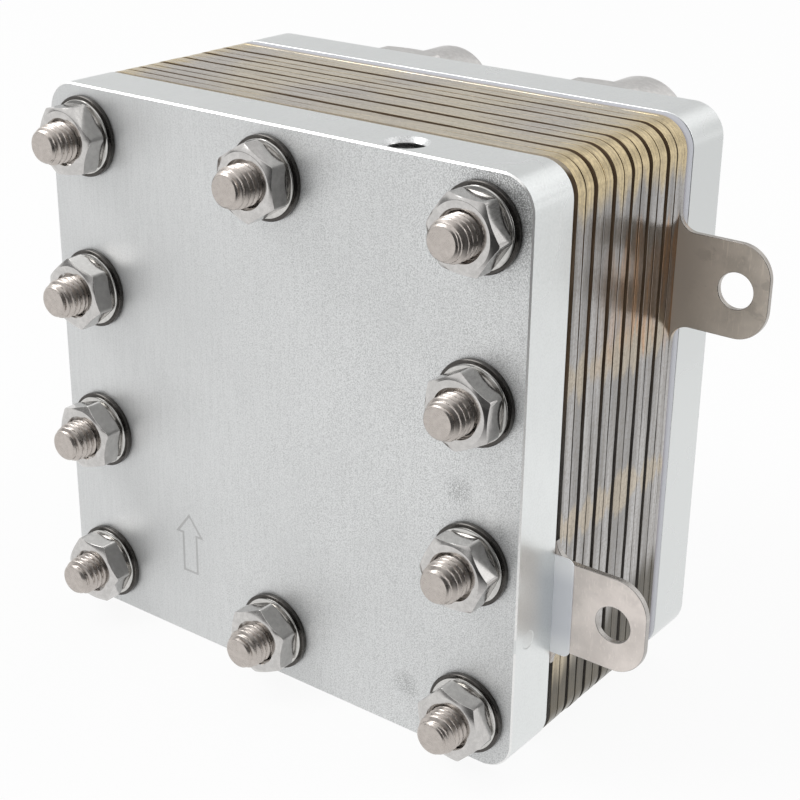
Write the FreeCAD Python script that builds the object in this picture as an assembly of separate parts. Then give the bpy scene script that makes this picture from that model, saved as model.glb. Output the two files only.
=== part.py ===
import FreeCAD, Part
import math
import os
from FreeCAD import Vector

# Stack of six proton exchange membrane cells, clamped between two end plates.
# Millimetres. X runs to the right, Y from the front plate to the rear plate, Z up.
# The origin is on the base plane, on the centre line, halfway along the stack.

cell_count = 6
plate_side = 114.0
corner_radius = 6.5
end_plate_thickness = 12.2
front_edge_chamfer = 0.6

# Layers between the end plates, in the order they are stacked
front_film_thickness = 0.3
current_plate_thickness = 1.2
cell_plate_thickness = 2.4
membrane_thickness = 0.3
separator_thickness = 1.2
rear_insulator_thickness = 2.3

# Flow pocket of each cell plate and the porous sheet that fills it
active_side = 60.0
pocket_depth = 0.8

# Ring of tie bolts
bolt_edge_distance = 10.0
bolt_diameter = 8.0
bolt_clearance = 1.0
bolt_hole_clearance = 0.3
bolt_end_length = 11.5
bolt_head_height = 5.3
bolt_sides = 12
bolt_hole_sides = 8
hexagon_across_flats = 13.0
nut_height = 5.0
nut_turn_step = 23.0
bolt_head_turn_step = 17.0
washer_diameter = 16.0
washer_thickness = 1.5
washer_sides = 24

# Sheets that stay inside the ring of bolts
inner_sheet_gap = 1.5

# Passages for water, oxygen and hydrogen
passage_width = 8.0
passage_height = 4.5
passage_rim = 1.0
port_across = 24.8
port_height_from_bolt = 4.2
port_opening = 6.0

# Fittings on the rear plate
fitting_body_flats = 24.4
fitting_body_length = 12.0
fitting_nut_diameter = 21.6
fitting_nut_length = 16.0
fitting_nut_sides = 24
tube_bore_diameter = 8.1

# Connection lugs
lug_height = 18.6
lug_reach = 19.2
lower_lug_drop = 26.0
upper_lug_rise = 27.0
lug_end_radius = 6.5
lug_root_radius = 5.0
lug_hole_diameter = 7.1
lug_hole_from_end = 6.7

# Ear of the front film beside the lower lug
ear_reach = 4.0
ear_overlap = 1.8
ear_corner_radius = 1.5

# Threaded hole in the top edge of the front plate
lifting_hole_diameter = 6.6
lifting_hole_depth = 14.0
lifting_hole_across = 27.5
lifting_hole_from_face = 5.0

plate_half = plate_side / 2
bolt_reach = plate_half - bolt_edge_distance
side_bolt_height = bolt_reach / 3
window_side = bolt_diameter + 2 * bolt_clearance
inner_half = bolt_reach - bolt_diameter / 2 - inner_sheet_gap
port_height = bolt_reach - port_height_from_bolt
passage_centre = inner_half - passage_rim - passage_height / 2

cell_depth = 2 * cell_plate_thickness + membrane_thickness
front_film_start = end_plate_thickness
front_current_start = front_film_start + front_film_thickness
cells_start = front_current_start + current_plate_thickness
cells_end = cells_start + cell_count * cell_depth + (cell_count - 1) * separator_thickness
rear_insulator_start = cells_end + current_plate_thickness
rear_plate_start = rear_insulator_start + rear_insulator_thickness
stack_length = rear_plate_start + end_plate_thickness


def block(width, height, length, x, y, z):
    """Box centred on x and z that starts at y."""
    return Part.makeBox(width, length, height, Vector(x - width / 2, y, z - height / 2))


def prism(sides, across_flats, length, x, y, z, turn=0.0):
    """Regular prism along Y with a flat on top at turn 0."""
    radius = across_flats / 2 / math.cos(math.pi / sides)
    corners = []
    for i in range(sides + 1):
        angle = math.radians(90 + turn) + math.pi * (2 * i + 1) / sides
        corners.append(Vector(x + radius * math.cos(angle), y, z + radius * math.sin(angle)))
    return Part.Face(Part.makePolygon(corners)).extrude(Vector(0, length, 0))


def rod(diameter, length, x, y, z):
    return Part.makeCylinder(diameter / 2, length, Vector(x, y, z), Vector(0, 1, 0))


def edges_along_y(shape, at):
    """Edges parallel to Y whose x and z satisfy the test."""
    chosen = []
    for edge in shape.Edges:
        first, last = edge.Vertexes[0].Point, edge.Vertexes[-1].Point
        straight = abs(first.x - last.x) < 1e-6 and abs(first.z - last.z) < 1e-6
        if straight and at(first.x, first.z):
            chosen.append(edge)
    return chosen


def rounded_square(thickness, y):
    square = block(plate_side, plate_side, thickness, 0, y, 0)
    return square.makeFillet(corner_radius, edges_along_y(square, lambda x, z: True))


def bolt_places():
    row = (-bolt_reach, 0.0, bolt_reach)
    places = [(x, z) for z in (-bolt_reach, bolt_reach) for x in row]
    for x in (-bolt_reach, bolt_reach):
        for z in (-side_bolt_height, side_bolt_height):
            places.append((x, z))
    return places


def port_places():
    """Oxygen with water at the top left, hydrogen at the top right, water inlet at the bottom."""
    return [(-port_across, 1), (port_across, 1), (-port_across, -1)]


def bolt_windows(thickness, y):
    """Square windows that keep a layer clear of the bolts, one long window for the middle pair at each side."""
    windows = []
    for x in (-bolt_reach, 0.0, bolt_reach):
        for z in (-bolt_reach, bolt_reach):
            windows.append(block(window_side, window_side, thickness, x, y, z))
    for x in (-bolt_reach, bolt_reach):
        windows.append(block(window_side, window_side + 2 * side_bolt_height, thickness, x, y, 0))
    return windows


def side_windows(thickness, y):
    """One window along each side for its four bolts, and a square one for the middle bolt of each row."""
    windows = [block(window_side, window_side + 2 * bolt_reach, thickness, x, y, 0)
               for x in (-bolt_reach, bolt_reach)]
    for z in (-bolt_reach, bolt_reach):
        windows.append(block(window_side, window_side, thickness, 0, y, z))
    return windows


def passages(thickness, y):
    return [block(passage_width, passage_height, thickness, x, y, side * passage_centre)
            for x, side in port_places()]


def cell_plate(y, pocket_at_rear):
    pocket_y = y + cell_plate_thickness - pocket_depth if pocket_at_rear else y
    cuts = side_windows(cell_plate_thickness, y) + passages(cell_plate_thickness, y)
    cuts.append(block(active_side, active_side, pocket_depth, 0, pocket_y, 0))
    return rounded_square(cell_plate_thickness, y).cut(cuts)


def inner_sheet(thickness, y):
    sheet = block(2 * inner_half, 2 * inner_half, thickness, 0, y, 0)
    return sheet.cut(passages(thickness, y))


def porous_sheet(y):
    return block(active_side, active_side, pocket_depth, 0, y, 0)


def lug(thickness, y, z):
    """Connection lug with a flared root, on the right at height z."""
    end = plate_half + lug_reach
    flare = lug_height + 2 * lug_root_radius
    root_end = plate_half + lug_root_radius
    root = block(root_end - inner_half, flare, thickness, (root_end + inner_half) / 2, y, z)
    root = root.cut([rod(2 * lug_root_radius, thickness, root_end, y, z + side * flare / 2) for side in (-1, 1)])
    blade = block(end - inner_half, lug_height, thickness, (end + inner_half) / 2, y, z)
    blade = blade.makeFillet(lug_end_radius, edges_along_y(blade, lambda x, _: x > plate_half))
    shape = root.fuse(blade).removeSplitter()
    return shape.cut(rod(lug_hole_diameter, thickness, end - lug_hole_from_end, y, z))


def side_bolt_notch(thickness, y):
    return block(window_side, window_side, thickness, bolt_reach, y, -side_bolt_height)


def front_current_plate():
    y = front_current_start
    thickness = current_plate_thickness
    sheet = block(2 * inner_half, 2 * inner_half, thickness, 0, y, 0)
    plate = sheet.fuse(lug(thickness, y, -lower_lug_drop)).removeSplitter()
    return plate.cut(side_bolt_notch(thickness, y))


def front_film():
    """Insulating film behind the front plate, with an ear that covers the root of the lower lug."""
    y = front_film_start
    thickness = front_film_thickness
    sheet = block(2 * inner_half, 2 * inner_half, thickness, 0, y, 0)
    width = plate_half + ear_reach - inner_half
    height = lug_height + ear_overlap
    ear = block(width, height, thickness, inner_half + width / 2, y, -lower_lug_drop)
    ear = ear.makeFillet(ear_corner_radius, edges_along_y(ear, lambda x, _: x > plate_half))
    return sheet.fuse(ear).removeSplitter().cut(side_bolt_notch(thickness, y))


def rear_current_plate():
    y = cells_end
    thickness = current_plate_thickness
    plate = rounded_square(thickness, y).fuse(lug(thickness, y, upper_lug_rise)).removeSplitter()
    return plate.cut(bolt_windows(thickness, y) + passages(thickness, y))


def rear_insulating_plate():
    """Its slots lead from the passages outwards to the ports."""
    y = rear_insulator_start
    low = passage_centre - passage_height / 2
    high = port_height + port_opening / 2
    slots = [block(passage_width, high - low, rear_insulator_thickness, x, y, side * (high + low) / 2)
             for x, side in port_places()]
    plate = rounded_square(rear_insulator_thickness, y)
    return plate.cut(side_windows(rear_insulator_thickness, y) + slots)


def end_plate(y):
    opening = bolt_diameter + 2 * bolt_hole_clearance
    holes = [prism(bolt_hole_sides, opening, end_plate_thickness, x, y, z) for x, z in bolt_places()]
    return rounded_square(end_plate_thickness, y).cut(holes)


def front_end_plate():
    plate = end_plate(0)
    outline = [edge for edge in plate.Edges if edge.BoundBox.YMax < 0.01 and on_outline(edge)]
    plate = plate.makeChamfer(front_edge_chamfer, outline)
    hole = Part.makeCylinder(lifting_hole_diameter / 2, lifting_hole_depth,
                             Vector(lifting_hole_across, lifting_hole_from_face, plate_half), Vector(0, 0, -1))
    return plate.cut(hole)


def on_outline(edge):
    """True for an edge that lies on the outline of the plates."""
    middle = edge.CenterOfMass
    return max(abs(middle.x), abs(middle.z)) > plate_half - corner_radius / 2


def rear_end_plate():
    openings = [block(port_opening, port_opening, end_plate_thickness, x, rear_plate_start, side * port_height)
                for x, side in port_places()]
    return end_plate(rear_plate_start).cut(openings)


def tie_bolts():
    bolts = []
    for i, (x, z) in enumerate(bolt_places()):
        shank = prism(bolt_sides, bolt_diameter, bolt_end_length + stack_length, x, -bolt_end_length, z)
        head = prism(6, hexagon_across_flats, bolt_head_height, x, stack_length, z, bolt_head_turn_step * i)
        bolts.append(shank.fuse(head).removeSplitter())
    return Part.makeCompound(bolts)


def tie_nuts():
    nuts = []
    for i, (x, z) in enumerate(bolt_places()):
        y = -washer_thickness - nut_height
        nut = prism(6, hexagon_across_flats, nut_height, x, y, z, nut_turn_step * i)
        nuts.append(nut.cut(prism(bolt_sides, bolt_diameter, nut_height, x, y, z)))
    return Part.makeCompound(nuts)


def front_washers():
    washers = []
    opening = bolt_diameter + 2 * bolt_hole_clearance
    for x, z in bolt_places():
        y = -washer_thickness
        washer = prism(washer_sides, washer_diameter, washer_thickness, x, y, z)
        washers.append(washer.cut(prism(bolt_hole_sides, opening, washer_thickness, x, y, z)))
    return Part.makeCompound(washers)


def fitting_bodies():
    bodies = []
    for x, side in port_places():
        z = side * port_height
        body = prism(6, fitting_body_flats, fitting_body_length, x, stack_length, z)
        bodies.append(body.cut(block(port_opening, port_opening, fitting_body_length, x, stack_length, z)))
    return Part.makeCompound(bodies)


def fitting_nuts():
    nuts = []
    y = stack_length + fitting_body_length
    for x, side in port_places():
        z = side * port_height
        nut = prism(fitting_nut_sides, fitting_nut_diameter, fitting_nut_length, x, y, z)
        nuts.append(nut.cut(rod(tube_bore_diameter, fitting_nut_length, x, y, z)))
    return Part.makeCompound(nuts)


def cell_layers():
    """Plates, membrane and porous sheets of every cell, and the separators between cells."""
    layers = {}
    y = cells_start
    for number in range(1, cell_count + 1):
        membrane_y = y + cell_plate_thickness
        cathode_y = membrane_y + membrane_thickness
        layers[f"anode_plate_{number}"] = cell_plate(y, True)
        layers[f"anode_felt_{number}"] = porous_sheet(membrane_y - pocket_depth)
        layers[f"membrane_{number}"] = inner_sheet(membrane_thickness, membrane_y)
        layers[f"cathode_paper_{number}"] = porous_sheet(cathode_y)
        layers[f"cathode_plate_{number}"] = cell_plate(cathode_y, False)
        y += cell_depth
        if number < cell_count:
            layers[f"separator_{number}"] = inner_sheet(separator_thickness, y)
            y += separator_thickness
    return layers


def main():
    nodes = {
        "front_end_plate": front_end_plate(),
        "front_film": front_film(),
        "front_current_plate": front_current_plate(),
        "rear_current_plate": rear_current_plate(),
        "rear_insulating_plate": rear_insulating_plate(),
        "rear_end_plate": rear_end_plate(),
        "tie_bolts": tie_bolts(),
        "tie_nuts": tie_nuts(),
        "front_washers": front_washers(),
        "fitting_bodies": fitting_bodies(),
        "fitting_nuts": fitting_nuts(),
    }
    nodes.update(cell_layers())
    os.makedirs("parts", exist_ok=True)
    for name, shape in nodes.items():
        shape.translate(Vector(0, -stack_length / 2, plate_half))
        shape.exportStep(f"parts/{name}.step")


main()
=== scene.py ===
"""Finish, light and camera for a clamped stack of proton exchange membrane cells."""

import math

import bpy
import bmesh
from mathutils import Matrix, Vector, noise
from mathutils.geometry import tessellate_polygon


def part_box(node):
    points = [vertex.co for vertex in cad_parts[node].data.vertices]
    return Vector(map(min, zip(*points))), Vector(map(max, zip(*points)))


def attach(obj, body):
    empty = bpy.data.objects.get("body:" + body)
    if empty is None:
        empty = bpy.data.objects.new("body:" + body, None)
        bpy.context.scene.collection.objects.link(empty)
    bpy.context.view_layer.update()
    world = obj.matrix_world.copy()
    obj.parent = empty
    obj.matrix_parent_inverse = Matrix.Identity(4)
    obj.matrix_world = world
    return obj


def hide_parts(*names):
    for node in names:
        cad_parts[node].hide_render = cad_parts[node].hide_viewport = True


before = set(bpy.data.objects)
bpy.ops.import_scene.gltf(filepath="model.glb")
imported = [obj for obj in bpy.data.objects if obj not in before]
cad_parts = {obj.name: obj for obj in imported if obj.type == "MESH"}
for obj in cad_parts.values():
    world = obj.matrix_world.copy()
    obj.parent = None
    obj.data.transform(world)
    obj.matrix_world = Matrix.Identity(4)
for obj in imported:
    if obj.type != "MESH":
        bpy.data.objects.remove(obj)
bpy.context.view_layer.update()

MM = 0.001

# Sizes in millimetres, read from the solids
plate_low, plate_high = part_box("front_end_plate")
HALF = (plate_high[0] - plate_low[0]) / 2 / MM
MIDDLE = (plate_high[2] + plate_low[2]) / 2 / MM
FRONT = plate_low[1] / MM
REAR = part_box("rear_end_plate")[1][1] / MM
PLATE_THICKNESS = (plate_high[1] - plate_low[1]) / MM

# Sizes in millimetres that repeat those of the solids. Places are measured from the plates' middle.
CORNER = 6.5
BOLT_REACH = HALF - 10.0
SIDE_BOLT = BOLT_REACH / 3
BOLT_RADIUS = 4.0
BOLT_GAP = 0.3
BOLT_END = 11.5
WINDOW = 2 * BOLT_RADIUS + 2.0
HEX_FLATS = 13.0
NUT_HEIGHT = 5.0
HEAD_HEIGHT = 5.3
WASHER_RADIUS = 8.0
WASHER_THICKNESS = 1.5
LOWER_LUG = -26.0
UPPER_LUG = 27.0
LUG_HALF = 9.3
LUG_CORNER = 6.5
LUG_END = HALF + 19.2
LUG_HOLE = LUG_END - 6.7
LUG_HOLE_RADIUS = 3.55
INNER_EDGE = 41.5
NOTCH_LEFT = 42.0
NOTCH_RIGHT = 52.0
NOTCH_FOOT = -SIDE_BOLT - 5.0
EAR_HALF = LUG_HALF + 0.9
EAR_END = HALF + 4.0
EAR_CORNER = 1.5
PORT_ACROSS = 24.8
PORT_HEIGHT = BOLT_REACH - 4.2
PORT_OPENING = 6.0
BODY_FLATS = 24.4
BODY_LENGTH = 12.0
CAP_RADIUS = 10.8
CAP_LENGTH = 16.0
TUBE_RADIUS = 4.05
HOLE_ACROSS = 27.5
HOLE_FROM_FACE = 5.0

# Sizes in millimetres of what only this script has
LUG_ROOT = 3.6
THREAD_PITCH = 1.25
THREAD_DEPTH = 0.50 * THREAD_PITCH
TIP_CUT = 1.2
HOLE_CREST = 3.35
HOLE_ROOT = 3.95
COUNTERSINK = 0.8
DIMPLE_FROM_FACE = 4.2
DIMPLE_HEIGHT = -29.8
DIMPLE_RADIUS = 2.0
ARROW_ACROSS = -23.3
ARROW_TIP = -28.4
ARROW = [(0.0, 0.0), (-3.85, -4.9), (-2.1, -4.9), (-2.1, -13.6), (2.1, -13.6), (2.1, -4.9), (3.85, -4.9)]
ARROW_LINE = 0.5
FRONT_CHAMFER = 0.30
PLATE_BEVEL = 0.2
LUG_BEVEL = 0.12
FILM_BEVEL = 0.08
CELL_BEVEL = 0.07

# Points around a thread, rows of points in one pitch, and turns of the threaded hole
THREAD_AROUND = 56
ROWS_PER_PITCH = 14
HOLE_TURNS = 10

# Degrees by which each nut and bolt head is turned further than the one before, and the share of a turn
# by which each thread starts further on
NUT_TURN = 23.0
HEAD_TURN = 17.0
THREAD_SHIFT = 0.37

# Place across and up, reach in millimetres and share of the darker grain on the front face
SMUDGES = ((43.8, -2.2, 3.8, 0.50), (32.9, -46.7, 3.8, 0.50), (52.0, 51.0, 15.0, 0.75))

# Degrees within one side of a hexagon, closer together at its corners
HEX_ANGLES = (0, 0.8, 2.2, 5, 9, 14, 20, 25, 30, 35, 40, 46, 51, 55, 57.8, 59.2)


def bolt_places():
    row = (-BOLT_REACH, 0.0, BOLT_REACH)
    places = [(x, z) for z in (-BOLT_REACH, BOLT_REACH) for x in row]
    for x in (-BOLT_REACH, BOLT_REACH):
        for z in (-SIDE_BOLT, SIDE_BOLT):
            places.append((x, z))
    return places


def port_places():
    """Where the ports stand across, and 1 above or -1 below the middle."""
    return [(-PORT_ACROSS, 1), (PORT_ACROSS, 1), (-PORT_ACROSS, -1)]


# Mesh helpers

def add_object(name, data):
    piece = bpy.data.objects.new(name, data)
    bpy.context.collection.objects.link(piece)
    return piece


def add_mesh(name, vertices, faces, sharp_angle=30.0, sharp_edges=()):
    """Mesh object from points in millimetres, with smooth faces between sharp edges."""
    mesh = bpy.data.meshes.new(name)
    mesh.from_pydata([Vector(v) * MM for v in vertices], [], faces)
    mesh.validate()
    shaped = bmesh.new()
    shaped.from_mesh(mesh)
    bmesh.ops.recalc_face_normals(shaped, faces=shaped.faces)
    shaped.to_mesh(mesh)
    shaped.free()
    mesh.shade_smooth()
    mesh.set_sharp_from_angle(angle=math.radians(sharp_angle))
    if sharp_edges:
        wanted = {tuple(sorted(edge)) for edge in sharp_edges}
        for edge in mesh.edges:
            if tuple(sorted(edge.vertices)) in wanted:
                edge.use_edge_sharp = True
    return add_object(name, mesh)


def finish_piece(piece, materials, slot, *nodes):
    """Gives a piece its materials and hides the solids that it stands for."""
    kinds = [polygon.material_index for polygon in piece.data.polygons]
    piece.data.materials.clear()
    for material in materials:
        piece.data.materials.append(material)
    for polygon, kind in zip(piece.data.polygons, kinds):
        polygon.material_index = min(kind, len(materials) - 1)
    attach(piece, "root")
    if nodes:
        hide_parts(*nodes)


def circle(x, z, radius, count):
    step = 2 * math.pi / count
    return [(x + radius * math.cos(i * step), z + radius * math.sin(i * step)) for i in range(count)]


def arc(x, z, radius, start, end, count):
    """Points from one angle to another, in degrees."""
    points = []
    for i in range(count + 1):
        angle = math.radians(start + (end - start) * i / count)
        points.append((x + radius * math.cos(angle), z + radius * math.sin(angle)))
    return points


def rectangle(x, z, width, height):
    w, h = width / 2, height / 2
    return [(x - w, z - h), (x + w, z - h), (x + w, z + h), (x - w, z + h)]


def rounded_square(half, radius, corner_count=14, side_count=36):
    """Outline that runs anticlockwise, with points along its sides for small waves."""
    points = []
    inner = half - radius
    centres = [(inner, inner), (-inner, inner), (-inner, -inner), (inner, -inner)]
    directions = [(-1, 0), (0, -1), (1, 0), (0, 1)]
    for turn, (centre, along) in enumerate(zip(centres, directions)):
        start = 90 * turn
        corner = arc(centre[0], centre[1], radius, start, start + 90, corner_count)
        points += corner
        for i in range(1, side_count):
            step = 2 * inner * i / side_count
            points.append((corner[-1][0] + along[0] * step, corner[-1][1] + along[1] * step))
    return points


def offset(loop, distance):
    """Loop moved inwards by a distance, which may differ from point to point."""
    moved = []
    count = len(loop)
    for i, (x, z) in enumerate(loop):
        before, after = loop[i - 1], loop[(i + 1) % count]
        first = Vector((x - before[0], z - before[1])).normalized()
        second = Vector((after[0] - x, after[1] - z)).normalized()
        normal = Vector((-(first.y + second.y), first.x + second.x))
        normal.normalize()
        across = Vector((-first.y, first.x))
        reach = 1.0 / max(0.4, normal.dot(across))
        amount = distance[i] if isinstance(distance, list) else distance
        moved.append((x + normal.x * amount * reach, z + normal.y * amount * reach))
    return moved


def ring_faces(a, b, count):
    """Faces between two rings of points, which start at the numbers a and b."""
    return [(a + i, a + (i + 1) % count, b + (i + 1) % count, b + i) for i in range(count)]


def ring_points(x, z, y, radius, count):
    """Ring of points about a line along Y, with z measured from the plates' middle."""
    points = []
    for i in range(count):
        angle = 2 * math.pi * i / count
        points.append((x + radius * math.cos(angle), y, z + MIDDLE + radius * math.sin(angle)))
    return points


def sheet(name, outline, holes, y0, y1, bevels, segments=3, wave=None, ripple=None, hole_bevel=None):
    """Flat piece between two Y values with shaped edges and holes. Outline and holes run anticlockwise.

    bevels holds the size of the front and the rear edge, and hole_bevel takes its place at the holes.
    One segment makes a flat chamfer. wave moves the rim inwards and ripple moves it along Y, both by place.
    Faces of the flat sides have material index 0, the rim and the holes' walls 1 and the rim's bevels 2.
    """
    vertices, faces, sharp, kinds = [], [], [], []
    loops = [(outline, 1, bevels)]
    loops += [(hole, -1, bevels if hole_bevel is None else (hole_bevel, hole_bevel)) for hole in holes]
    caps = ([], [])
    steps = [math.pi / 2 * k / segments for k in range(segments + 1)]
    for loop, inward, (front, rear) in loops:
        rows = [(y0 + front * (1 - math.cos(a)), front * (1 - math.sin(a))) for a in steps]
        rows += [(y1 - rear * (1 - math.cos(a)), rear * (1 - math.sin(a))) for a in reversed(steps)]
        rings = []
        for index, (y, inset) in enumerate(rows):
            amounts = [inset * inward] * len(loop)
            if wave and inward > 0:
                amounts = [inset + wave(x, z) for x, z in loop]
            points = offset(loop, amounts)
            side = 0 if index <= segments else 1
            shift = [ripple(x, z, side) if ripple and inward > 0 else 0.0 for x, z in loop]
            rings.append((len(vertices), points))
            vertices += [(x, y + dy, z + MIDDLE) for (x, z), dy in zip(points, shift)]
        count = len(loop)
        for index, (one, two) in enumerate(zip(rings, rings[1:])):
            faces += ring_faces(one[0], two[0], count)
            kinds += [2 if index != segments and inward > 0 else 1] * count
        for index in (0, segments, segments + 1, len(rings) - 1):
            first = rings[index][0]
            sharp += [(first + i, first + (i + 1) % count) for i in range(count)]
        caps[0].append(rings[0])
        caps[1].append(rings[-1])
    for cap in caps:
        flat = [[Vector((x, z, 0)) for x, z in points] for _, points in cap]
        numbers = [first + i for first, points in cap for i in range(len(points))]
        for triangle in tessellate_polygon(flat):
            faces.append(tuple(numbers[i] for i in triangle))
            kinds.append(0)
    piece = add_mesh(name, vertices, faces, sharp_edges=sharp)
    for polygon, kind in zip(piece.data.polygons, kinds):
        polygon.material_index = kind
    return piece


def revolve(profile, x, z, count, closed=False):
    """Turned form about a line along Y. The profile holds (radius, y) points."""
    vertices, faces = [], []
    for radius, y in profile:
        vertices += ring_points(x, z, y, radius, count)
    rows = len(profile)
    for row in range(rows if closed else rows - 1):
        faces += ring_faces(row * count, (row + 1) % rows * count, count)
    return vertices, faces


def stacked_rings(profile, x, y, count):
    """Closed turned form about an upright line. The profile holds (radius, height) points."""
    vertices, faces = [], []
    for radius, height in profile:
        for i in range(count):
            angle = 2 * math.pi * i / count
            vertices.append((x + radius * math.cos(angle), y + radius * math.sin(angle), height))
    last = (len(profile) - 1) * count
    for start in range(0, last, count):
        faces += ring_faces(start, start + count, count)
    faces.append(tuple(range(count)))
    faces.append(tuple(range(last, last + count)))
    return vertices, faces


def join_lists(parts):
    vertices, faces = [], []
    for more_vertices, more_faces in parts:
        start = len(vertices)
        vertices += more_vertices
        faces += [tuple(i + start for i in face) for face in more_faces]
    return vertices, faces


# Fasteners

def hex_block(x, z, y_free, y_seat, flats, turn, bore, sink, seat_collar):
    """Hexagon with a conical chamfer and a countersunk bore, from its free face to its seat.

    turn is in degrees.
    """
    inward = 1 if y_seat > y_free else -1
    length = abs(y_seat - y_free)
    corner = flats / math.sqrt(3) - 0.12
    ring = flats / 2 * 0.93
    slope = math.tan(math.radians(30))
    local = [math.radians(a) for a in HEX_ANGLES]
    angles = [math.radians(turn) + math.pi / 3 * side + a for side in range(6) for a in local]
    sides = [min(corner, flats / 2 / math.cos(a - math.pi / 6)) for side in range(6) for a in local]
    around = len(angles)
    vertices, faces = [], []

    def row(radii, depths):
        for a, r, d in zip(angles, radii, depths):
            vertices.append((x + r * math.cos(a), y_free + inward * d, z + MIDDLE + r * math.sin(a)))

    def round_row(radius, depth):
        row([radius] * around, [depth] * around)

    round_row(bore, length)
    round_row(bore, sink)
    round_row(bore + sink, 0.0)
    round_row(ring - 0.1, 0.0)
    round_row(ring, 0.03)
    depths = [0.03 + (r - ring) * slope for r in sides]
    row([r - 0.03 for r in sides], [d - 0.02 for d in depths])
    row(sides, [d + 0.03 for d in depths])
    if seat_collar:
        collar = flats / 2 * 0.97
        row(sides, [length - 0.42 - (r - collar) * slope * 0.7 for r in sides])
        round_row(collar, length - 0.38)
        round_row(collar, length - 0.04)
        round_row(collar - 0.06, length)
    else:
        row(sides, [length] * around)
    for start in range(0, len(vertices), around):
        faces += ring_faces(start, (start + around) % len(vertices), around)
    return vertices, faces


def thread_rod(x, z, y_start, y_end, phase):
    """Threaded bar along Y from its free end at y_start, with a chamfered tip and a flat end."""
    minor = BOLT_RADIUS - THREAD_DEPTH
    rows = int((y_end - y_start) / THREAD_PITCH * ROWS_PER_PITCH)
    vertices, faces = [], []

    def ridge(turns):
        height = 1.0 - abs(turns % 1.0 - 0.5) * 2.0
        return minor + THREAD_DEPTH * min(1.0, max(0.0, (height - 0.12) / 0.70))

    tip = BOLT_RADIUS - TIP_CUT
    lip = 0.35
    for r in range(rows + 1):
        y = y_start + (y_end - y_start) * r / rows
        into = y - y_start
        cone = min(BOLT_RADIUS, tip + min(into, lip) * 1.2 + max(0.0, into - lip) * 0.45)
        cut = min(1.0, max(0.0, into - 0.3) / 0.3)
        for i in range(THREAD_AROUND):
            angle = 2 * math.pi * i / THREAD_AROUND
            crest = ridge(into / THREAD_PITCH + phase + i / THREAD_AROUND)
            radius = cone - (BOLT_RADIUS - crest) * cut
            vertices.append((x + radius * math.cos(angle), y, z + MIDDLE + radius * math.sin(angle)))
    for r in range(rows):
        faces += ring_faces(r * THREAD_AROUND, (r + 1) * THREAD_AROUND, THREAD_AROUND)
    previous = 0
    for radius, depth in ((tip - 0.10, 0.0), (tip - 0.5, 0.02), (0.8, 0.05)):
        start = len(vertices)
        vertices += ring_points(x, z, y_start + depth, radius, THREAD_AROUND)
        faces += ring_faces(previous, start, THREAD_AROUND)
        previous = start
    faces.append(tuple(previous + i for i in range(THREAD_AROUND)))
    return vertices, faces


# Materials

class NodeKit:
    """Short calls for the nodes of one material or of the world. Lengths are in metres here."""

    def __init__(self, tree):
        self.nodes = tree.nodes
        self.links = tree.links

    def place(self, kind="Object"):
        return self.nodes.new("ShaderNodeTexCoord").outputs[kind]

    def axis(self, name, kind="Object"):
        """The place along X, Y or Z."""
        split = self.nodes.new("ShaderNodeSeparateXYZ")
        self.links.new(self.place(kind), split.inputs[0])
        return split.outputs[name]

    def distance(self, point):
        node = self.nodes.new("ShaderNodeVectorMath")
        node.operation = "DISTANCE"
        node.inputs[1].default_value = point
        self.links.new(self.place(), node.inputs[0])
        return node.outputs["Value"]

    def noise(self, scale, size, detail=4.0, rough=0.5):
        """Noise that is scaled per axis."""
        mapping = self.nodes.new("ShaderNodeMapping")
        mapping.inputs["Scale"].default_value = scale
        self.links.new(self.place(), mapping.inputs["Vector"])
        texture = self.nodes.new("ShaderNodeTexNoise")
        texture.inputs["Scale"].default_value = size
        texture.inputs["Detail"].default_value = detail
        texture.inputs["Roughness"].default_value = rough
        self.links.new(mapping.outputs["Vector"], texture.inputs["Vector"])
        return texture.outputs["Fac"]

    def calculate(self, operation, first, second=0.0):
        node = self.nodes.new("ShaderNodeMath")
        node.operation = operation
        for value, socket in zip((first, second), node.inputs):
            if isinstance(value, (int, float)):
                socket.default_value = value
            else:
                self.links.new(value, socket)
        return node.outputs[0]

    def add(self, first, second):
        return self.calculate("ADD", first, second)

    def subtract(self, first, second):
        return self.calculate("SUBTRACT", first, second)

    def times(self, first, second):
        return self.calculate("MULTIPLY", first, second)

    def larger(self, first, second):
        return self.calculate("MAXIMUM", first, second)

    def size_of(self, value):
        return self.calculate("ABSOLUTE", value)

    def step(self, value, low, high, to_low=0.0, to_high=1.0):
        """Smooth step between two values."""
        node = self.nodes.new("ShaderNodeMapRange")
        node.interpolation_type = "SMOOTHSTEP"
        node.inputs["From Min"].default_value = low
        node.inputs["From Max"].default_value = high
        node.inputs["To Min"].default_value = to_low
        node.inputs["To Max"].default_value = to_high
        self.links.new(value, node.inputs["Value"])
        return node.outputs["Result"]

    def mix(self, factor, first, second):
        """Mix of two colours, each a tuple or what another node gives."""
        node = self.nodes.new("ShaderNodeMix")
        node.data_type = "RGBA"
        self.links.new(factor, node.inputs["Factor"])
        for value, socket in ((first, node.inputs["A"]), (second, node.inputs["B"])):
            if isinstance(value, tuple):
                socket.default_value = (*value, 1.0)
            else:
                self.links.new(value, socket)
        return node.outputs["Result"]

    def blend(self, factor, first, second, target):
        """Mix of two shaders, which becomes the surface of the target."""
        node = self.nodes.new("ShaderNodeMixShader")
        self.links.new(factor, node.inputs["Fac"])
        self.links.new(first.outputs[0], node.inputs[1])
        self.links.new(second.outputs[0], node.inputs[2])
        self.links.new(node.outputs[0], self.nodes[target].inputs["Surface"])

    def white(self, kind, strength):
        """Background or emission shader of plain white."""
        node = self.nodes.new(kind)
        node.inputs["Color"].default_value = (1, 1, 1, 1)
        node.inputs["Strength"].default_value = strength
        return node


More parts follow.
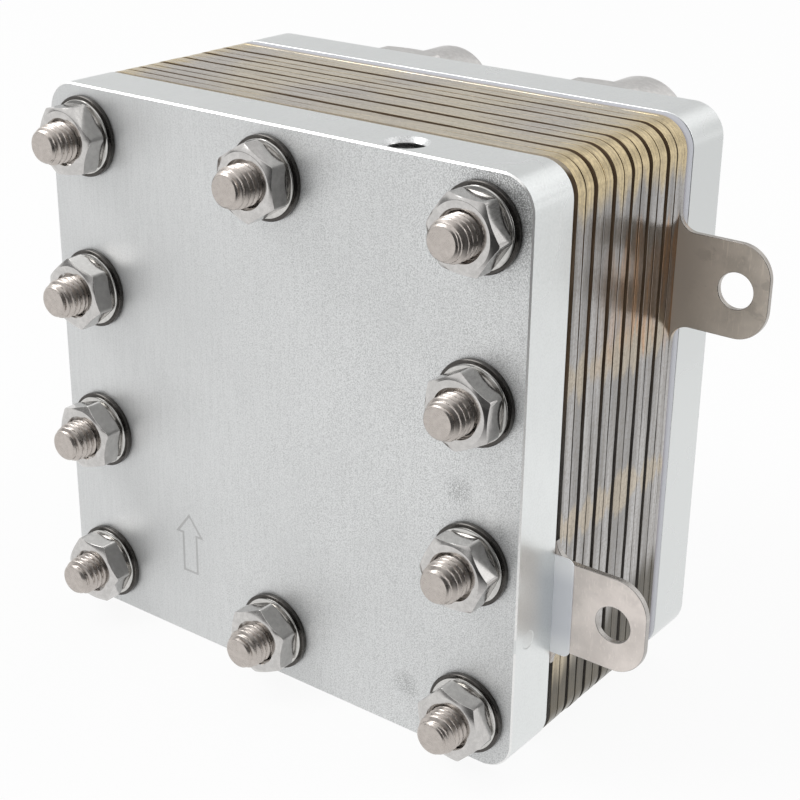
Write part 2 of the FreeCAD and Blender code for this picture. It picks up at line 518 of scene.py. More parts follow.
class Paint(NodeKit):
    """New material and its nodes."""

    def __init__(self, name):
        self.material = bpy.data.materials.new(name)
        self.material.use_nodes = True
        super().__init__(self.material.node_tree)
        self.shader = self.nodes["Principled BSDF"]

    def coat(self, color, roughness, metallic=0.0):
        """Sets the shader, each input to a fixed value or to what another node gives."""
        for name, value in (("Base Color", color), ("Roughness", roughness), ("Metallic", metallic)):
            socket = self.shader.inputs[name]
            if isinstance(value, tuple):
                socket.default_value = (*value, 1.0)
            elif isinstance(value, (int, float)):
                socket.default_value = value
            else:
                self.links.new(value, socket)

    def bump(self, height, strength, distance):
        node = self.nodes.new("ShaderNodeBump")
        node.inputs["Strength"].default_value = strength
        node.inputs["Distance"].default_value = distance
        self.links.new(height, node.inputs["Height"])
        self.links.new(node.outputs["Normal"], self.shader.inputs["Normal"])


EVEN = (1, 1, 1)
FINE_BUMP = 0.00002
GRAIN_BUMP = 0.00003
SOFT_BUMP = 0.0001

# Colours along the edges of the cell plates and the rear current plate, among them painted reflection and
# painted shade
SIDE_DARK = (0.335, 0.328, 0.325)
SIDE_PALE = (0.51, 0.50, 0.495)
TOP_STRAW = (0.67, 0.59, 0.45)
TOP_PALE = (0.54, 0.50, 0.46)
GOLD = (0.735, 0.595, 0.35)
# Painted reflection: tan for the bands that the polished rims reflect
TAN_REFLECTION = (0.58, 0.50, 0.385)
# Painted reflection of the upper lug in the rims
ORANGE_REFLECTION = (0.60, 0.38, 0.23)
GOLD_BELOW = (0.60, 0.49, 0.31)
# Painted shade: the shaded floor seen in the lower rims
BROWN_SHADE_BELOW = (0.07, 0.064, 0.05)
SPECK = (0.16, 0.13, 0.09)
FINE_LINE = (0.20, 0.175, 0.14)

# Height above the middle and half width of each tan band of painted reflection, in millimetres
TAN_REFLECTION_BANDS = ((17.4, 4.2), (-12.0, 3.6))


def tone(color, share):
    return tuple(min(1.0, c * share) for c in color)


def blasted_metal(name, color, roughness, contrast, grain_size=3000.0, strength=0.3, metallic=1.0, side=1.0,
                  smudges=()):
    """Pale metal with faint drawn lines and a grain that is stronger towards the right.

    side darkens its left and right flat sides as painted shade, and smudges are places of darker grain on the
    front face.
    """
    paint = Paint(name)
    # Share of the speckled grain, which grows towards the right
    rightward_grain = paint.step(paint.axis("X"), -0.050, 0.045, 0.30, 1.0)
    grain = paint.noise(EVEN, grain_size, 2.0, 0.6)
    lines = paint.noise((12, 1, 0.5), 220.0, 3.0, 0.6)
    cloud = paint.noise(EVEN, 26.0, 3.0)
    speckle = paint.step(grain, 0.34, 0.62)
    rough = paint.mix(speckle, tone(color, 1.0 - contrast), tone(color, 1.0 + contrast * 0.35))
    base = paint.mix(rightward_grain, tone(color, 1.0 - contrast * 0.22), rough)
    base = paint.mix(paint.step(lines, 0.35, 0.65, 0.0, 0.35), base, tone(color, 1.05))
    base = paint.mix(paint.step(cloud, 0.35, 0.7, 0.0, 0.22), base, tone(color, 0.86))
    for x, z, reach, share in smudges:
        away = paint.distance((x * MM, FRONT * MM, (z + MIDDLE) * MM))
        near = paint.step(away, reach * MM, reach * 0.25 * MM, 0.0, share)
        dirt = paint.times(near, paint.step(grain, 0.62, 0.42))
        base = paint.mix(dirt, base, tone(color, 0.35))
    # Painted shade: the left and right flat sides are made darker than the top and bottom
    if side < 1.0:
        outer = paint.step(paint.size_of(paint.axis("X")), (HALF - 1.5) * MM, HALF * MM)
        base = paint.mix(outer, base, tone(color, side))
    paint.coat(base, paint.step(cloud, 0.3, 0.7, roughness - 0.04, roughness + 0.05), metallic)
    paint.bump(grain, strength, GRAIN_BUMP)
    return paint.material


def bright_steel(name, color, roughness, bump=0.05):
    """Polished steel with a soft mottle and small marks from handling."""
    paint = Paint(name)
    marks = paint.noise(EVEN, 900.0, 4.0, 0.65)
    soft = paint.noise(EVEN, 130.0, 2.0)
    base = paint.mix(paint.step(marks, 0.35, 0.75), tone(color, 0.88), tone(color, 1.07))
    base = paint.mix(paint.step(soft, 0.35, 0.7, 0.0, 0.18), base, tone(color, 0.86))
    paint.coat(base, paint.step(marks, 0.3, 0.75, roughness - 0.02, roughness + 0.04), 1.0)
    paint.bump(marks, bump, FINE_BUMP)
    return paint.material


def sheet_metal(name, color, roughness, metallic=1.0, marks=0.0, root=1.0):
    """Rolled sheet with faint scratches and a soft mottle.

    marks is the share of dark spots and bright scratches, and root darkens the part next to the stack as
    painted shade.
    """
    paint = Paint(name)
    upright = paint.noise((14, 1, 1), 130.0, 3.0, 0.6)
    slanted = paint.noise((9, 1, 3), 210.0, 3.0, 0.65)
    spots = paint.noise((1, 1, 1.4), 210.0, 4.0, 0.6)
    cloud = paint.noise(EVEN, 130.0, 5.0, 0.6)
    drawn = paint.noise((5, 1, 0.35), 300.0, 3.0, 0.6)
    base = paint.mix(paint.step(cloud, 0.3, 0.7), tone(color, 0.84), tone(color, 1.08))
    base = paint.mix(paint.step(drawn, 0.60, 0.72, 0.0, marks), base, tone(color, 1.3))
    base = paint.mix(paint.step(slanted, 0.56, 0.68, 0.0, 0.4), base, tone(color, 1.2))
    base = paint.mix(paint.step(spots, 0.58, 0.68, 0.0, marks), base, tone(color, 0.66))
    # Painted shade: darker where the lug meets the stack
    if root < 1.0:
        inner = paint.step(paint.axis("X"), (HALF + 1.0) * MM, (HALF + 11.0) * MM, 1.0, 0.0)
        base = paint.mix(inner, base, tone(color, root))
    paint.coat(base, paint.step(upright, 0.3, 0.7, roughness - 0.02, roughness + 0.03), metallic)
    paint.bump(upright, 0.04, FINE_BUMP)
    return paint.material


def rim_metal(name, roughness, lug_color=None):
    """Rolled edge: grey on the sides, straw tinted above and below, and golden at the upper corners.

    The sides have tan bands of painted reflection and turn brown at their foot as painted shade. The right
    one also has an orange patch of painted reflection at the upper lug and a golden one below the lower lug.
    """
    paint = Paint(name)
    depth = paint.axis("Y")
    lift = paint.subtract(paint.axis("Z"), MIDDLE * MM)
    upright = paint.size_of(lift)
    right = paint.step(paint.axis("X"), 0.0, 0.01)
    wander = paint.noise((1, 3, 1), 60.0, 2.0)
    each = paint.noise((0.7, 13, 0.7), 34.0, 2.0)
    stray = paint.times(paint.subtract(each, 0.5), 0.012)
    strayed = paint.add(lift, stray)

    # Grey sides with tan bands of painted reflection, standing for the surroundings seen in the polished rims
    side = paint.mix(paint.step(each, 0.35, 0.65), SIDE_DARK, SIDE_PALE)
    for height, half in TAN_REFLECTION_BANDS:
        away = paint.size_of(paint.subtract(lift, height * MM))
        band = paint.step(paint.add(away, stray), half * MM, half * 0.4 * MM, 0.0, 0.75)
        side = paint.mix(band, side, TAN_REFLECTION)

    # Golden patch on the front sheets below the lower lug
    front = paint.times(paint.step(depth, -0.018, -0.006, 0.75, 0.0), paint.step(strayed, -0.033, -0.038))
    side = paint.mix(paint.times(front, right), side, GOLD_BELOW)

    # Painted reflection: an orange patch on the rear sheets at the upper lug, standing for the lug seen in
    # the polished rims
    lug_reflection_noise = paint.noise((1, 6, 0.5), 150.0, 2.0, 0.6)
    away = paint.size_of(paint.subtract(paint.add(lift, paint.times(stray, 2.0)), UPPER_LUG * MM))
    near = paint.times(paint.step(away, 0.0125, 0.008), paint.step(depth, -0.014, 0.004))
    spot = paint.times(paint.times(near, right), paint.step(lug_reflection_noise, 0.42, 0.60, 0.30, 0.95))
    side = paint.mix(spot, side, ORANGE_REFLECTION)

    # Painted shade: a brown foot, standing for the shaded floor that the rims reflect, which reaches higher
    # at the rear
    behind = paint.times(paint.add(depth, 0.022), 0.3)
    foot = paint.step(paint.subtract(strayed, behind), -0.040, -0.048, 0.0, 0.95)
    side = paint.mix(foot, side, BROWN_SHADE_BELOW)

    # Straw above and below, gold at the corners, then specks and fine lines
    patches = paint.noise((1, 0.8, 1), 34.0, 2.0, 0.45)
    top = paint.mix(paint.step(patches, 0.45, 0.60, 0.0, 0.8), TOP_STRAW, TOP_PALE)
    base = paint.mix(paint.step(upright, (HALF - 1.6) * MM, (HALF - 0.8) * MM), side, top)
    reach = paint.add(paint.add(paint.size_of(paint.axis("X")), upright), stray)
    corner = paint.step(reach, (2 * HALF - 12.0) * MM, (2 * HALF - 6.5) * MM)
    golden = paint.times(corner, paint.step(lift, -0.02, 0.02, 0.04, 0.95))
    base = paint.mix(golden, base, GOLD)
    speckle = paint.noise(EVEN, 1500.0, 2.0, 0.6)
    base = paint.mix(paint.step(speckle, 0.55, 0.35, 0.0, 0.22), base, SPECK)
    lines = paint.noise((1, 70, 1), 45.0, 3.0, 0.6)
    base = paint.mix(paint.step(lines, 0.35, 0.62, 0.35, 0.0), base, FINE_LINE)
    if lug_color:
        out = paint.step(paint.axis("X"), (HALF + 0.5) * MM, (HALF + 3.0) * MM)
        base = paint.mix(out, base, lug_color)
    paint.coat(base, paint.step(wander, 0.3, 0.7, roughness - 0.03, roughness + 0.05), 1.0)
    paint.bump(lines, 0.25, FINE_BUMP)
    return paint.material


def gap_metal(name, pale):
    """Dull metal between the cells: grey below, brown above, and pale near the top edge."""
    paint = Paint(name)
    tall = paint.axis("Z")
    cloud = paint.noise(EVEN, 90.0, 3.0, 0.55)
    share = paint.step(cloud, 0.3, 0.7)
    upper = paint.mix(share, (0.125, 0.085, 0.05), (0.19, 0.13, 0.08))
    lower = paint.mix(share, (0.095, 0.086, 0.078), (0.15, 0.138, 0.126))
    base = paint.mix(paint.step(tall, MIDDLE * MM, (MIDDLE + 22.0) * MM), lower, upper)
    level = paint.step(tall, (MIDDLE + HALF - 3.0) * MM, (MIDDLE + HALF - 1.5) * MM)
    paint.coat(paint.mix(level, base, pale), 0.5, 0.25)
    paint.bump(cloud, 0.05, GRAIN_BUMP)
    return paint.material


def band_sheet(name, low, high, y0, y1, roughness):
    """Moulded sheet whose rim turns through its thickness from a painted shade colour at its front edge to
    its own colour.
    """
    paint = Paint(name)
    cloud = paint.noise(EVEN, 60.0, 3.0)
    stray = paint.times(paint.subtract(cloud, 0.5), 0.0008)
    depth = paint.add(paint.axis("Y"), stray)
    paint.coat(paint.mix(paint.step(depth, y0 * MM, y1 * MM), low, high), roughness)
    paint.bump(cloud, 0.1, SOFT_BUMP)
    return paint.material


def film_plastic(name, middle, ends, roughness):
    """White film, painted bluish grey as shade in the middle of the lower lug's height and paler towards the
    lug's upper and lower edge.
    """
    paint = Paint(name)
    cloud = paint.noise(EVEN, 60.0, 3.0)
    stray = paint.times(paint.subtract(cloud, 0.5), 0.002)
    away = paint.size_of(paint.subtract(paint.axis("Z"), (MIDDLE + LOWER_LUG) * MM))
    share = paint.step(paint.add(away, stray), (LUG_HALF - 5.0) * MM, LUG_HALF * MM)
    # Painted shade: the middle colour stands for the film's shaded ear between the end plate and the lower
    # lug
    paint.coat(paint.mix(share, middle, ends), roughness)
    paint.bump(cloud, 0.1, SOFT_BUMP)
    return paint.material


def plain_surface(name, low, high, size, roughness, bump=0.1):
    """Non-metal with a soft variation between two colours."""
    paint = Paint(name)
    texture = paint.noise(EVEN, size, 4.0, 0.55)
    paint.coat(paint.mix(paint.step(texture, 0.3, 0.7), low, high), roughness)
    paint.bump(texture, bump, SOFT_BUMP)
    return paint.material


PALE_METAL = (0.81, 0.83, 0.825)
STEEL = (0.61, 0.595, 0.58)

plate_face = blasted_metal("end_plate_metal", (0.73, 0.74, 0.74), 0.43, 0.38, grain_size=4600.0,
                           strength=0.35, metallic=0.70, smudges=SMUDGES)
plate_side = blasted_metal("end_plate_side", PALE_METAL, 0.30, 0.05, grain_size=2600.0, strength=0.1)
# Painted shade: the rear plate's left and right sides are darkened through side
rear_plate_side_shaded = blasted_metal("rear_plate_side_shaded", PALE_METAL, 0.30, 0.05, grain_size=2600.0, strength=0.1,
                                side=0.88)
plate_edge = blasted_metal("end_plate_edge", (0.93, 0.93, 0.92), 0.24, 0.08, grain_size=2600.0, strength=0.1,
                           metallic=0.75)
thread_dark = bright_steel("thread_metal", (0.52, 0.52, 0.52), 0.25)
etched_line = blasted_metal("etched_line", (0.56, 0.56, 0.56), 0.5, 0.12)
gap_brown = gap_metal("cell_plate_metal", (0.19, 0.13, 0.08))
gap_pale = gap_metal("first_plate_metal", (0.66, 0.57, 0.45))
cell_rim = rim_metal("cell_plate_rim", 0.21)
front_lug_metal = sheet_metal("current_plate_front", (0.775, 0.71, 0.665), 0.30, metallic=0.45, marks=0.15)
# Painted shade: the upper lug is darker next to the stack through root
lug_metal = sheet_metal("current_plate_metal", (0.73, 0.655, 0.57), 0.30, metallic=0.45, marks=0.6, root=0.78)
# Painted shade: the lower lug's rim is coloured darker than its faces, standing for the dark surroundings it
# reflects
shaded_lug_rim = sheet_metal("current_plate_edge", (0.46, 0.44, 0.42), 0.28, metallic=0.9)
rear_lug_rim = rim_metal("current_plate_rim", 0.24, lug_color=(0.46, 0.43, 0.40))
bolt_steel = bright_steel("fastener_metal", (0.55, 0.505, 0.47), 0.28)
head_steel = bright_steel("bolt_head_metal", STEEL, 0.22)
nut_steel = bright_steel("nut_metal", STEEL, 0.14)
washer_steel = bright_steel("washer_metal", (0.62, 0.61, 0.59), 0.08, bump=0.02)
# Painted shade: near black for the washers' outer step and rim, standing for the dark surroundings they
# reflect
washer_shade = bright_steel("washer_edge_shade", (0.09, 0.085, 0.08), 0.25)
fitting_steel = bright_steel("fitting_metal", (0.68, 0.665, 0.65), 0.34)
insulator_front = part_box("rear_insulating_plate")[0][1] / MM
# Painted shade: the insulator's rim is darker at its front edge, next to the cell plates
grey_sheet = band_sheet("insulator", (0.42, 0.38, 0.43), (0.52, 0.53, 0.57), insulator_front,
                        insulator_front + 0.9, 0.38)
film_sheet = film_plastic("insulator_film", (0.72, 0.745, 0.79), (0.92, 0.94, 0.96), 0.35)

# Finish of the inner layers, by how their names start
INNER_FINISH = {
    "separator": sheet_metal("separator_metal", (0.15, 0.135, 0.12), 0.45),
    "membrane": plain_surface("membrane", (0.03, 0.03, 0.035), (0.06, 0.06, 0.065), 300.0, 0.6),
    "anode_felt": plain_surface("anode_felt", (0.30, 0.30, 0.30), (0.50, 0.49, 0.48), 1800.0, 0.7, 0.5),
    "cathode_paper": plain_surface("cathode_paper", (0.02, 0.02, 0.02), (0.07, 0.07, 0.07), 1500.0, 0.75,
                                   0.5),
}


# Pieces

def cut_from(piece, cutter):
    """Takes one closed mesh out of another."""
    modifier = piece.modifiers.new("cut", "BOOLEAN")
    modifier.operation = "DIFFERENCE"
    modifier.solver = "EXACT"
    modifier.object = cutter
    bpy.context.view_layer.update()
    result = bpy.data.meshes.new_from_object(piece.evaluated_get(bpy.context.evaluated_depsgraph_get()))
    piece.modifiers.clear()
    result.set_sharp_from_angle(angle=math.radians(20))
    piece.data = result
    bpy.data.objects.remove(cutter)


def threaded_hole(piece):
    """Countersunk M8 hole in the front plate's top edge, and a small drilled dimple in its right edge."""
    top = MIDDLE + HALF
    hole_y = FRONT + HOLE_FROM_FACE
    dimple_z = MIDDLE + DIMPLE_HEIGHT
    depth = top - COUNTERSINK
    profile = [(4.75, top + 0.5), (4.25, top), (3.45, depth)]
    for _ in range(HOLE_TURNS):
        profile += [(HOLE_CREST, depth - 0.15), (HOLE_ROOT, depth - 0.55), (HOLE_ROOT, depth - 0.7),
                    (HOLE_CREST, depth - 1.1)]
        depth -= THREAD_PITCH
    cut_from(piece, add_mesh("hole_cutter", *stacked_rings(profile, HOLE_ACROSS, hole_y, 48)))
    profile = [(DIMPLE_RADIUS, HALF + 0.1), (1.7, HALF - 0.05), (0.3, HALF - 0.14)]
    points, faces = stacked_rings(profile, 0.0, 0.0, 32)
    points = [(height, FRONT + DIMPLE_FROM_FACE + y, dimple_z + x) for x, y, height in points]
    cut_from(piece, add_mesh("dimple_cutter", points, faces))
    for polygon in piece.data.polygons:
        centre = polygon.center / MM
        radius = math.hypot(centre.x - HOLE_ACROSS, centre.y - hole_y)
        if radius < 4.2 and top - 16.0 < centre.z < top - 0.02:
            polygon.material_index = 0 if centre.z > top - COUNTERSINK + 0.05 else 3
        if HALF - 0.5 < centre.x < HALF - 0.01 and abs(centre.z - dimple_z) < DIMPLE_RADIUS + 0.1:
            polygon.material_index = 1


def end_plates():
    holes = [circle(x, z, BOLT_RADIUS + BOLT_GAP, 24) for x, z in bolt_places()]
    outline = rounded_square(HALF, CORNER)
    inner_face = FRONT + PLATE_THICKNESS
    front = sheet("front_plate", outline, holes, FRONT, inner_face, (FRONT_CHAMFER, PLATE_BEVEL), 1,
                  hole_bevel=PLATE_BEVEL)
    threaded_hole(front)
    finish = [plate_face, plate_side, plate_edge, thread_dark]
    finish_piece(front, finish, "end_plate_metal", "front_end_plate")
    ports = [rectangle(x, side * PORT_HEIGHT, PORT_OPENING, PORT_OPENING) for x, side in port_places()]
    inner_face = REAR - PLATE_THICKNESS
    rear = sheet("rear_plate", outline, holes + ports, inner_face, REAR, (0.15, 0.6), hole_bevel=PLATE_BEVEL)
    finish_piece(rear, [plate_face, rear_plate_side_shaded], "end_plate_metal", "rear_end_plate")
    outer = [(x + ARROW_ACROSS, z + ARROW_TIP) for x, z in ARROW]
    inner = offset(outer, ARROW_LINE)
    arrow = sheet("arrow_line", outer, [inner], FRONT - 0.012, FRONT + 0.02, (0.004, 0.004), 1)
    finish_piece(arrow, [etched_line], "end_plate_metal")


def node_depth(node):
    low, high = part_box(node)
    return low[1] / MM, high[1] / MM


def plate_wave(number):
    """Small waves of a thin plate's rim, in millimetres, always inside the outline."""
    def wave(x, z):
        along = noise.noise(Vector((x * 0.035, z * 0.035, number * 3.7)))
        fine = noise.noise(Vector((x * 0.16, z * 0.16, number * 9.1)))
        return 0.15 + 0.10 * along + 0.04 * fine
    return wave


def plate_ripple(number):
    """Burred rim of a thin plate, which makes its joint lines uneven."""
    def ripple(x, z, side):
        slow = noise.noise(Vector((x * 0.09, z * 0.09, number * 5.3 + side * 40)))
        fast = noise.noise(Vector((x * 0.45, z * 0.45, number * 2.9 + side * 40)))
        return 0.07 * slow + 0.05 * fast
    return ripple


def windows(joined):
    """Square openings around the bolts, joined along the left and right side or only at the side bolts."""
    holes = [rectangle(0, z, WINDOW, WINDOW) for z in (-BOLT_REACH, BOLT_REACH)]
    for x in (-BOLT_REACH, BOLT_REACH):
        if joined:
            holes.append(rectangle(x, 0, WINDOW, WINDOW + 2 * BOLT_REACH))
        else:
            holes.append(rectangle(x, 0, WINDOW, WINDOW + 2 * SIDE_BOLT))
            holes.append(rectangle(x, -BOLT_REACH, WINDOW, WINDOW))
            holes.append(rectangle(x, BOLT_REACH, WINDOW, WINDOW))
    return holes


def cell_plates():
    outline = rounded_square(HALF, CORNER, 20, 110)
    for number in range(1, 7):
        for kind, extra in (("anode_plate", 0), ("cathode_plate", 50)):
            node = f"{kind}_{number}"
            y0, y1 = node_depth(node)
            seed = number + extra
            piece = sheet(f"{node}_sheet", outline, windows(True), y0, y1, (CELL_BEVEL, CELL_BEVEL), 2,
                          plate_wave(seed), plate_ripple(seed), hole_bevel=0.02)
            inside = gap_pale if node == "anode_plate_1" else gap_brown
            finish_piece(piece, [inside, cell_rim], "cell_plate_metal", node)


def lug_outline(z):
    """Right part of a current plate's outline, from below the lug to above it."""
    points = arc(HALF + LUG_ROOT, z - LUG_HALF - LUG_ROOT, LUG_ROOT, 180, 90, 10)
    points += arc(LUG_END - LUG_CORNER, z - LUG_HALF + LUG_CORNER, LUG_CORNER, -90, 0, 14)
    points += arc(LUG_END - LUG_CORNER, z + LUG_HALF - LUG_CORNER, LUG_CORNER, 0, 90, 14)
    points += arc(HALF + LUG_ROOT, z + LUG_HALF + LUG_ROOT, LUG_ROOT, 270, 180, 10)
    return points


def inner_outline(half, side):
    """Outline of a sheet inside the bolts that reaches the right side at the lower lug.

    half is half the height of the part that reaches out, and side holds its points there. The notch leaves
    room for the lower side bolt.
    """
    low, high = LOWER_LUG - half, LOWER_LUG + half
    edge = INNER_EDGE
    points = [(-edge, edge), (-edge, -edge), (edge, -edge), (edge, low)]
    points += side
    points += [(NOTCH_RIGHT, high), (NOTCH_RIGHT, NOTCH_FOOT), (NOTCH_LEFT, NOTCH_FOOT), (NOTCH_LEFT, high)]
    points += [(edge, high), (edge, edge)]
    return points


def current_plates():
    flare = LUG_HALF + LUG_ROOT
    y0, y1 = node_depth("front_current_plate")
    outline = inner_outline(flare, lug_outline(LOWER_LUG))
    hole = circle(LUG_HOLE, LOWER_LUG, LUG_HOLE_RADIUS, 48)
    piece = sheet("front_lug_plate", outline, [hole], y0, y1, (LUG_BEVEL, LUG_BEVEL))
    finish_piece(piece, [front_lug_metal, shaded_lug_rim], "current_plate_metal", "front_current_plate")
    y0, y1 = node_depth("rear_current_plate")
    low, high = UPPER_LUG - flare, UPPER_LUG + flare
    edge = HALF - 0.2
    square = rounded_square(HALF - 0.1, CORNER)
    kept = [p for p in square if not (p[0] > edge and low - 0.5 < p[1] < high + 0.5)]
    first = next(i for i, p in enumerate(kept)
                 if p[0] > edge and p[1] < low and kept[(i + 1) % len(kept)][1] > high)
    outline = kept[first + 1:] + kept[:first + 1] + lug_outline(UPPER_LUG)
    holes = windows(False) + [circle(LUG_HOLE, UPPER_LUG, LUG_HOLE_RADIUS, 48)]
    piece = sheet("rear_lug_plate", outline, holes, y0, y1, (LUG_BEVEL, LUG_BEVEL))
    finish_piece(piece, [lug_metal, rear_lug_rim], "current_plate_metal", "rear_current_plate")


def insulators():
    y0, y1 = node_depth("rear_insulating_plate")
    outline = rounded_square(HALF - 0.05, CORNER)
    piece = sheet("rear_insulator", outline, windows(True), y0, y1, (1.1, 0.3), 8, hole_bevel=0.1)
    finish_piece(piece, [grey_sheet], "insulator", "rear_insulating_plate")
    y0, y1 = node_depth("front_film")
    across = EAR_END - EAR_CORNER
    up = EAR_HALF - EAR_CORNER
    ear = arc(across, LOWER_LUG - up, EAR_CORNER, -90, 0, 6)
    ear += arc(across, LOWER_LUG + up, EAR_CORNER, 0, 90, 6)
    outline = inner_outline(EAR_HALF, ear)
    piece = sheet("front_insulating_film", outline, [], y0, y1, (FILM_BEVEL, FILM_BEVEL), 2)
    finish_piece(piece, [film_sheet], "insulator", "front_film")


def fasteners():
    seat = FRONT - WASHER_THICKNESS
    thread_end = seat - 1.5
    shank_start = seat - 2.0
    shank = [(0.5, shank_start), (3.9, shank_start), (3.9, REAR)]

    # The washer's bore, its bright face towards the nut, and the step and rim around it, painted near black
    # as shade and dark reflection
    ring = [(4.3, FRONT), (4.3, seat + 0.15), (4.45, seat), (7.08, seat), (7.30, seat + 0.14),
            (7.36, seat + 0.34), (7.36, seat + 0.42), (7.86, seat + 0.42), (WASHER_RADIUS, seat + 0.56),
            (WASHER_RADIUS, FRONT - 0.12), (7.85, FRONT)]
    shade_rows = range(5, 10)
    ring_count = 64

    bolts, nuts, washers = [], [], []
    for i, (x, z) in enumerate(bolt_places()):
        bolts.append(thread_rod(x, z, FRONT - BOLT_END, thread_end, THREAD_SHIFT * i))
        bolts.append(revolve(shank, x, z, 24))
        bolts.append(hex_block(x, z, REAR + HEAD_HEIGHT, REAR, HEX_FLATS, HEAD_TURN * i, 0.02, 0.02, False))
        nuts.append(hex_block(x, z, seat - NUT_HEIGHT, seat, HEX_FLATS, NUT_TURN * i, 3.6, 1.1, True))
        washers.append(revolve(ring, x, z, ring_count, True))
    piece = add_mesh("bolts_threaded", *join_lists(bolts), sharp_angle=40)
    for polygon in piece.data.polygons:
        polygon.material_index = 1 if polygon.center.y > REAR * MM else 0
    finish_piece(piece, [bolt_steel, head_steel], "fastener_metal", "tie_bolts")
    piece = add_mesh("nuts_hex", *join_lists(nuts), sharp_angle=24)
    finish_piece(piece, [nut_steel], "fastener_metal", "tie_nuts")
    piece = add_mesh("washers_round", *join_lists(washers), sharp_angle=35)
    for polygon in piece.data.polygons:
        row = polygon.index // ring_count % len(ring)
        polygon.material_index = 1 if row in shade_rows else 0
    finish_piece(piece, [washer_steel, washer_shade], "fastener_metal", "front_washers")


def fittings():
    start = REAR + BODY_LENGTH
    end = start + CAP_LENGTH
    cap = [(TUBE_RADIUS, start), (TUBE_RADIUS, end - 1.0), (5.2, end), (CAP_RADIUS - 2.2, end),
           (CAP_RADIUS - 1.0, end - 0.4), (CAP_RADIUS - 0.25, end - 1.2), (CAP_RADIUS, end - 2.4),
           (CAP_RADIUS, start + 1.0), (CAP_RADIUS - 0.3, start + 0.3), (CAP_RADIUS - 1.0, start)]
    bodies, nuts = [], []
    for x, side in port_places():
        z = side * PORT_HEIGHT
        bodies.append(hex_block(x, z, start, REAR, BODY_FLATS, 0.0, 3.0, 0.5, False))
        nuts.append(revolve(cap, x, z, 96, True))
    piece = add_mesh("port_bodies", *join_lists(bodies), sharp_angle=24)
    finish_piece(piece, [fitting_steel], "fitting_metal", "fitting_bodies")
    piece = add_mesh("port_nuts", *join_lists(nuts), sharp_angle=24)
    finish_piece(piece, [fitting_steel], "fitting_metal", "fitting_nuts")


def inner_layers():
    """The sheets inside the stack keep their solids and get their finish."""
    for name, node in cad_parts.items():
        for start, material in INNER_FINISH.items():
            if name.startswith(start):
                node.data.materials.clear()
                node.data.materials.append(material)


end_plates()
cell_plates()
current_plates()
insulators()
fasteners()
fittings()
inner_layers()


# Camera, light and studio

# Yaw, pitch and roll in radians, from a fit to the photograph, and the place in millimetres
CAMERA_TURNS = (0.644, 0.398, 0.013)
CAMERA_PLACE = (193.594, -216.558 + FRONT, 128.352 + MIDDLE)
CAMERA_LENS = 74.64
CAMERA_SHIFT = (-0.0028, -0.01775)

# Name, place, side length and power of each square lamp, in metres and watts
LAMPS = (
    ("key", (-0.9, -0.62, 1.2), 0.8, 9.0),
    ("fill", (1.2, 0.9, 0.9), 1.0, 5.0),
)
LAMP_TARGET = (0, 0, 0.05)

# Name, first and last floor point, lower and upper height in metres, shade, cover and share of the soft edge
CARDS = (
    ("front_card", (-0.15, -1.15), (1.45, 0.05), -0.25, 1.1, 0.06, 0.95, 0.2),
    ("side_card", (-1.30, -0.30), (0.10, -1.20), 0.12, 0.46, 0.08, 0.75, 0.25),
    ("table_card", (0.0, -1.0), (1.0, -0.04), 0.002, 0.002, 0.06, 1.0, 0.12),
    ("back_card", (0.2, 1.1), (1.05, 0.38), 0.05, 0.80, 0.10, 0.45, 0.4),
    ("floor_card", (0.10, 0.0), (1.1, 1.2), 0.002, 0.002, 0.50, 0.30, 0.1),
    ("left_card", (-1.32, 0.26), (0.12, 1.34), 0.0, 1.5, 0.60, 0.7, 0.25),
)


def add_camera():
    data = bpy.data.cameras.new("camera")
    camera = add_object("camera", data)
    yaw, pitch, roll = CAMERA_TURNS
    forward = Vector((-math.sin(yaw) * math.cos(pitch), math.cos(yaw) * math.cos(pitch), -math.sin(pitch)))
    level = Vector((math.cos(yaw), math.sin(yaw), 0))
    up = level.cross(forward)
    right = level * math.cos(roll) + up * math.sin(roll)
    up = right.cross(forward)
    turn = Matrix((right, up, -forward)).transposed().to_4x4()
    camera.matrix_world = Matrix.Translation(Vector(CAMERA_PLACE) * MM) @ turn
    data.sensor_width = 36.0
    data.lens = CAMERA_LENS
    data.shift_x, data.shift_y = CAMERA_SHIFT
    data.clip_start = 0.01
    data.clip_end = 20.0
    bpy.context.scene.camera = camera


def area_light(name, place, size, power):
    data = bpy.data.lights.new(name, "AREA")
    data.shape = "RECTANGLE"
    data.size = size
    data.size_y = size
    data.energy = power
    lamp = add_object(name, data)
    lamp.location = place
    lamp.rotation_euler = (Vector(LAMP_TARGET) - Vector(place)).to_track_quat("-Z", "Y").to_euler()


def seen_factor(kit, share):
    """Share of the plain white that the camera, reflections and clear parts see."""
    path = kit.nodes.new("ShaderNodeLightPath")
    either = kit.larger(path.outputs["Is Camera Ray"], path.outputs["Is Glossy Ray"])
    return kit.times(kit.larger(either, path.outputs["Is Transmission Ray"]), share)


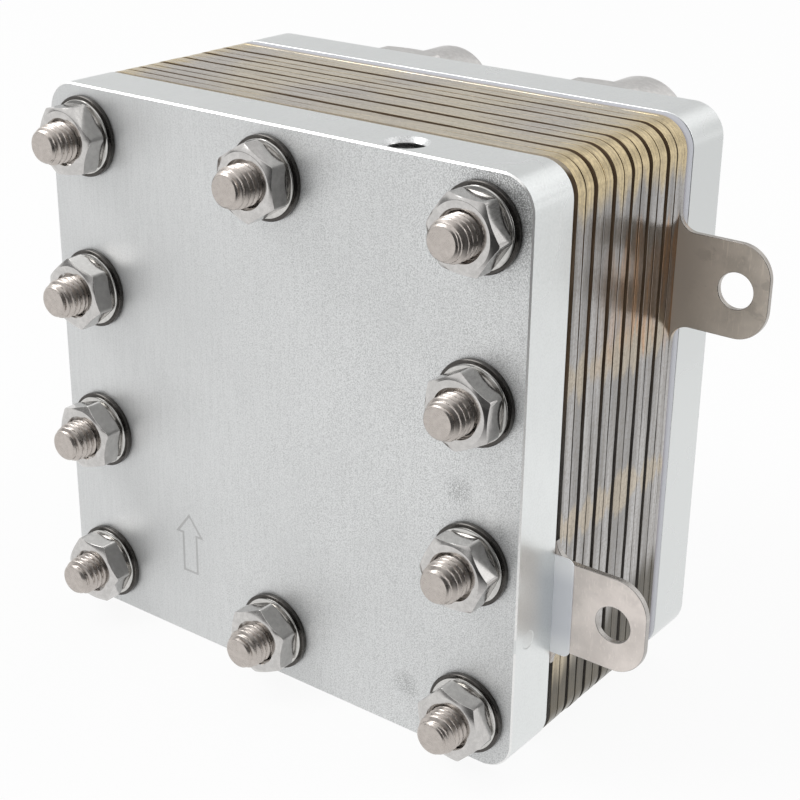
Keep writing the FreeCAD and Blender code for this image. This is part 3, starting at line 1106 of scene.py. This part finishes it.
def add_world():
    world = bpy.data.worlds.new("studio")
    bpy.context.scene.world = world
    world.use_nodes = True
    kit = NodeKit(world.node_tree)
    light = kit.nodes["Background"]
    light.inputs["Color"].default_value = (1, 1, 1, 1)
    light.inputs["Strength"].default_value = 0.7
    seen = kit.white("ShaderNodeBackground", 1.0)
    kit.blend(seen_factor(kit, 1.0), light, seen, "World Output")


def flat_board(name, corners):
    mesh = bpy.data.meshes.new(name)
    mesh.from_pydata([Vector(corner) for corner in corners], [], [(0, 1, 2, 3)])
    return add_object(name, mesh)


def add_floor():
    floor = flat_board("floor", [(x, y, -0.0002) for x, y in ((-3, -3), (3, -3), (3, 3), (-3, 3))])
    paint = Paint("floor_white")
    paint.coat((0.86, 0.86, 0.86), 0.9)
    paint.shader.inputs["Specular IOR Level"].default_value = 0.0
    glow = paint.white("ShaderNodeEmission", 1.0)
    paint.blend(seen_factor(paint, 0.92), paint.shader, glow, "Material Output")
    floor.data.materials.append(paint.material)


def studio_card(name, start, end, low, high, shade, cover, fade):
    """Soft-edged board of the studio, which shows only in reflections.

    It stands from one floor point to another between two heights, or lies flat where these are equal.
    """
    if low == high:
        floor_points = (start, (end[0], start[1]), end, (start[0], end[1]))
        corners = [(*point, low) for point in floor_points]
        axes = ("X", "Y")
    else:
        corners = [(*start, low), (*end, low), (*end, high), (*start, high)]
        axes = ("X", "Z")
    card = flat_board(name, corners)
    paint = Paint(f"{name}_cloth")
    grey = (shade, shade, shade)
    paint.coat(paint.mix(paint.noise(EVEN, 6.0), tone(grey, 0.8), tone(grey, 1.2)), 1.0)
    paint.shader.inputs["Specular IOR Level"].default_value = 0.0
    edges = []
    for axis in axes:
        away = paint.size_of(paint.subtract(paint.axis(axis, "Generated"), 0.5))
        edges.append(paint.step(paint.subtract(0.5, away), 0.0, fade))
    clear = paint.nodes.new("ShaderNodeBsdfTransparent")
    paint.blend(paint.times(paint.times(*edges), cover), clear, paint.shader, "Material Output")
    card.data.materials.append(paint.material)
    card.visible_camera = False
    card.visible_diffuse = False
    card.visible_shadow = False


add_camera()
add_world()
add_floor()
for card in CARDS:
    studio_card(*card)
for lamp in LAMPS:
    area_light(*lamp)

bpy.context.scene.view_settings.view_transform = "Standard"
